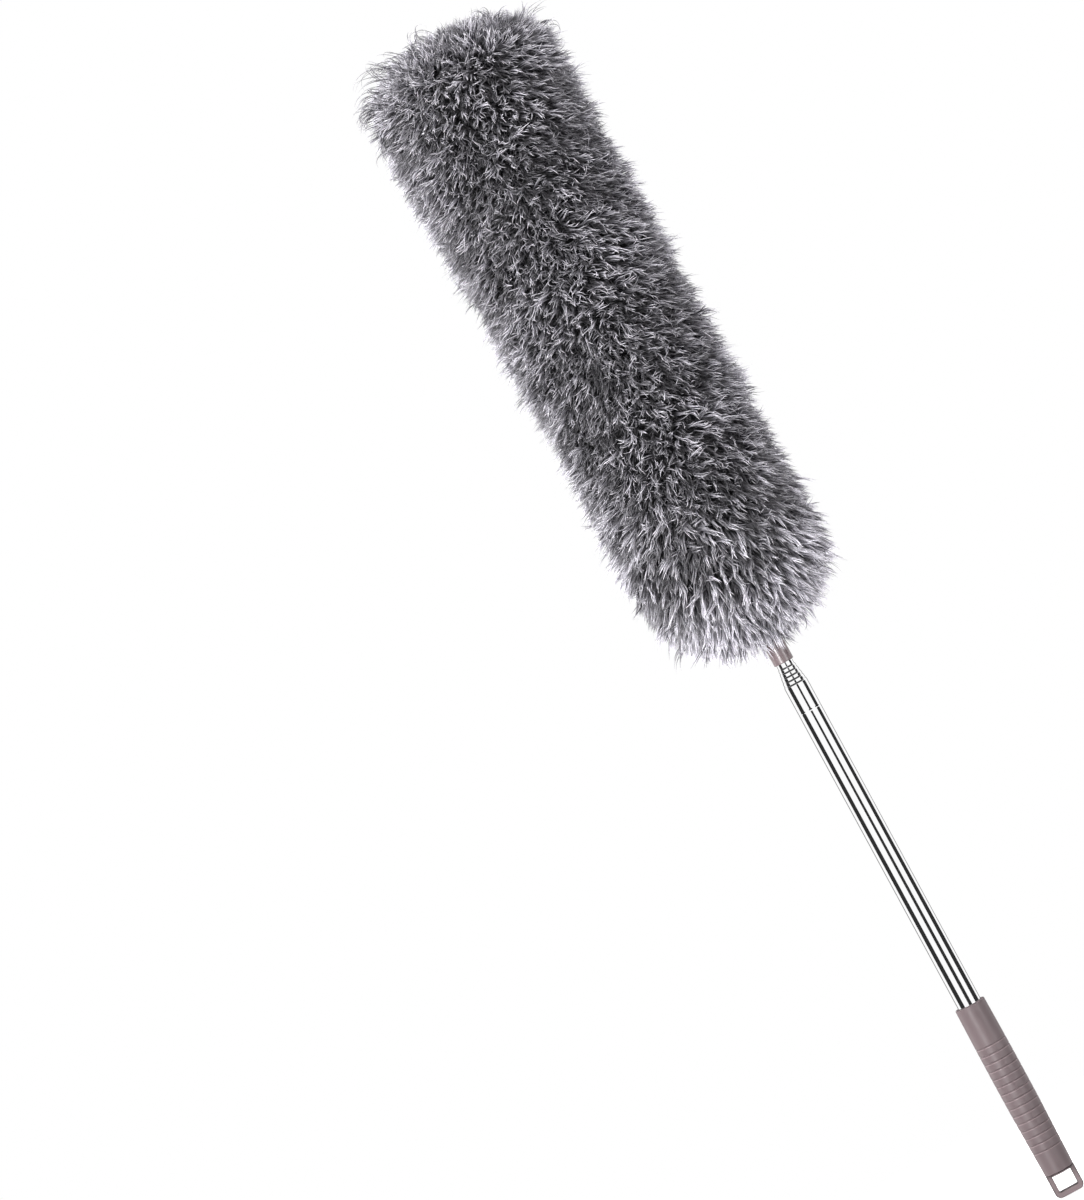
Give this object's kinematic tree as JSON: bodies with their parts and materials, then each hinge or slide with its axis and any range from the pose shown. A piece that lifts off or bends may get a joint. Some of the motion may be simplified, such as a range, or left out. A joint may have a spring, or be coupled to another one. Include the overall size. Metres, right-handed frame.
{
  "type": "feather duster",
  "caption": "Telescopic feather duster: bendable microfibre pile head on a nested steel pole, with a grooved swivelling grip and a hanging loop.",
  "frame": {"origin": "middle of the hanging loop's flat end face, on the pole's axis", "axes": "+Z along the pole from the handle to the head; the loop opens through along Y; the head bends in the XZ plane"},
  "size_m": [0.13, 0.13, 0.841],
  "materials": {
    "mauve_plastic": "satin",
    "socket_plastic": "satin",
    "polished_steel": "polished",
    "nylon": "satin",
    "core_wire": "satin",
    "foam": "matte",
    "rubber": "matte",
    "hem_cloth": "matte",
    "microfibre_pile": "matte"
  },
  "bodies": {
    "handle": {"grip": "mauve_plastic", "grip_end_bush": "nylon"},
    "loop": {"hanging_loop": "mauve_plastic"},
    "section_1": {"tube_1": "polished_steel", "pole_end_plug": "nylon"},
    "section_2": {"tube_2": "polished_steel", "friction_sleeve_2": "nylon"},
    "section_3": {"tube_3": "polished_steel", "friction_sleeve_3": "nylon"},
    "section_4": {"tube_4": "polished_steel", "friction_sleeve_4": "nylon"},
    "section_5": {"tube_5": "polished_steel", "friction_sleeve_5": "nylon"},
    "section_6": {"tube_6": "polished_steel", "friction_sleeve_6": "nylon", "pole_tip_stud": "nylon", "head_socket": "socket_plastic", "core_wire_1": "core_wire", "core_foam_1": "foam", "pile_sleeve_1": "microfibre_pile", "sleeve_hem": "hem_cloth"},
    "head_2": {"core_wire_2": "core_wire", "core_foam_2": "foam", "pile_sleeve_2": "microfibre_pile"},
    "head_3": {"core_wire_3": "core_wire", "core_foam_3": "foam", "pile_sleeve_3": "microfibre_pile"},
    "head_4": {"core_wire_4": "core_wire", "core_foam_4": "foam", "pile_sleeve_4": "microfibre_pile"},
    "head_5": {"core_wire_5": "core_wire", "core_foam_5": "foam", "pile_sleeve_5": "microfibre_pile"},
    "head_6": {"core_wire_6": "core_wire", "core_foam_6": "foam", "pile_sleeve_6": "microfibre_pile", "core_end_cap": "rubber"}
  },
  "joints": [
    {"name": "loop_swivel", "type": "hinge", "parent": "handle", "child": "loop", "pos_m": [0, 0, 0.0162], "axis": [0, 0, 1], "continuous": true},
    {"name": "handle_swivel", "type": "hinge", "parent": "handle", "child": "section_1", "pos_m": [0, 0, 0.0289], "axis": [0, 0, 1], "continuous": true},
    {"name": "section_2_slide", "type": "slide", "parent": "section_1", "child": "section_2", "axis": [0, 0, 1], "range_m": [0, 0.274]},
    {"name": "section_3_slide", "type": "slide", "parent": "section_2", "child": "section_3", "axis": [0, 0, 1], "range_m": [0, 0.2629]},
    {"name": "section_4_slide", "type": "slide", "parent": "section_3", "child": "section_4", "axis": [0, 0, 1], "range_m": [0, 0.2518]},
    {"name": "section_5_slide", "type": "slide", "parent": "section_4", "child": "section_5", "axis": [0, 0, 1], "range_m": [0, 0.2407]},
    {"name": "section_6_slide", "type": "slide", "parent": "section_5", "child": "section_6", "axis": [0, 0, 1], "range_m": [0, 0.2296]},
    {"name": "bend_1", "type": "hinge", "parent": "section_6", "child": "head_2", "pos_m": [0, 0, 0.48], "axis": [0, 1, 0], "range_deg": [-30, 30], "deforming": ["pile_sleeve_1", "pile_sleeve_2"]},
    {"name": "bend_2", "type": "hinge", "parent": "head_2", "child": "head_3", "pos_m": [0, 0, 0.548], "axis": [0, 1, 0], "range_deg": [-30, 30], "deforming": ["pile_sleeve_3"]},
    {"name": "bend_3", "type": "hinge", "parent": "head_3", "child": "head_4", "pos_m": [0, 0, 0.616], "axis": [0, 1, 0], "range_deg": [-30, 30], "deforming": ["pile_sleeve_4"]},
    {"name": "bend_4", "type": "hinge", "parent": "head_4", "child": "head_5", "pos_m": [0, 0, 0.684], "axis": [0, 1, 0], "range_deg": [-30, 30], "deforming": ["pile_sleeve_5"]},
    {"name": "bend_5", "type": "hinge", "parent": "head_5", "child": "head_6", "pos_m": [0, 0, 0.752], "axis": [0, 1, 0], "range_deg": [-30, 30], "deforming": ["pile_sleeve_6"]}
  ],
  "couplings": [
    {"joint": "bend_2", "follows": "bend_1", "ratio": 1},
    {"joint": "bend_3", "follows": "bend_1", "ratio": 1},
    {"joint": "bend_4", "follows": "bend_1", "ratio": 1},
    {"joint": "bend_5", "follows": "bend_1", "ratio": 1}
  ]
}
